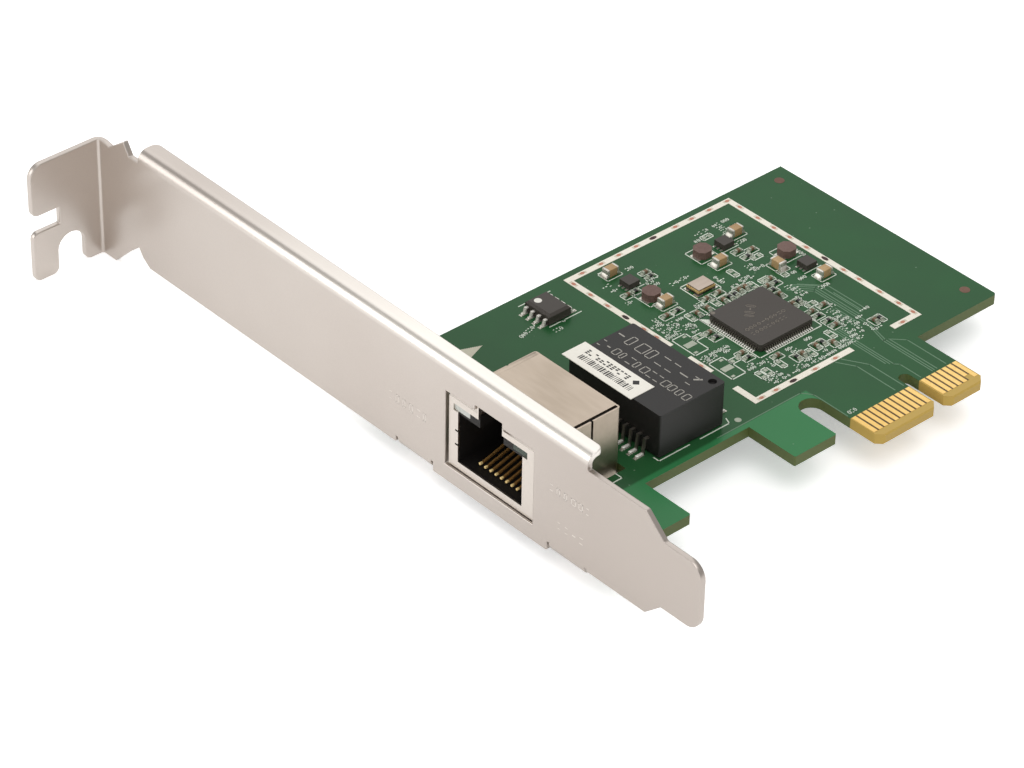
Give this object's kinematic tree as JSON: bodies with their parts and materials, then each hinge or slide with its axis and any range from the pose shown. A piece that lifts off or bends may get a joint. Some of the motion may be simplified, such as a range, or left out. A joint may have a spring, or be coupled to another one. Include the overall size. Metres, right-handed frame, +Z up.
{
  "type": "network interface card",
  "caption": "Low-height expansion card with a full-height slot bracket, a sunk network jack, a magnetics module and an edge connector.",
  "frame": {"origin": "the edge connector's datum: X = 0 at the middle of the key notch, Y = 0 where the fingers' lead-in starts (0.72 mm inside their leading edge), Z = 0 at the component face of the board", "axes": "+X from the bracket to the card's free end, +Y from the bracket's tongue to its screw flange, +Z up from the component face"},
  "size_m": [0.0925, 0.1209, 0.0211],
  "materials": {
    "board": "green solder mask over glass laminate",
    "gold": "gold plating",
    "bracket_steel": "bright plated sheet steel, satin",
    "screw_steel": "plated steel",
    "shield_tin": "tin-plated sheet, satin",
    "black_plastic": "moulded, satin black",
    "clear_plastic": "milky clear light pipe",
    "tin": "bright tin plating",
    "label_paper": "white paper label",
    "chip_resin": "moulded chip resin",
    "crystal_ceramic": "dark ceramic",
    "crystal_cap": "plated lid",
    "ferrite": "brown ferrite",
    "tan_ceramic": "tan ceramic with tinned ends",
    "resistor_ceramic": "black glaze with tinned ends"
  },
  "bodies": {
    "root": {"circuit_board": "board", "edge_fingers_front": "gold", "edge_fingers_back": "gold", "bracket": "bracket_steel", "bracket_screws": "screw_steel", "rj45_shield": "shield_tin", "rj45_housing": "black_plastic", "rj45_contacts": "gold", "rj45_leads": "tin", "rj45_lamp_left": "clear_plastic", "rj45_lamp_right": "clear_plastic", "magnetics_body": "black_plastic", "magnetics_leads": "tin", "serial_label": "label_paper", "controller_body": "chip_resin", "controller_leads": "tin", "memory_body": "chip_resin", "memory_leads": "tin", "crystal_base": "crystal_ceramic", "crystal_lid": "crystal_cap", "inductor_1": "ferrite", "inductor_2": "ferrite", "inductor_3": "ferrite", "regulator_1": "chip_resin", "regulator_2": "chip_resin", "regulator_3": "chip_resin", "bulk_capacitor_1": "tan_ceramic", "bulk_capacitor_2": "tan_ceramic", "bulk_capacitor_3": "tan_ceramic", "bulk_capacitor_4": "tan_ceramic", "bulk_capacitor_5": "tan_ceramic", "bulk_capacitor_6": "tan_ceramic", "chip_capacitors": "tan_ceramic", "chip_resistors": "resistor_ceramic", "shield_fence": "tin"}
  },
  "joints": []
}
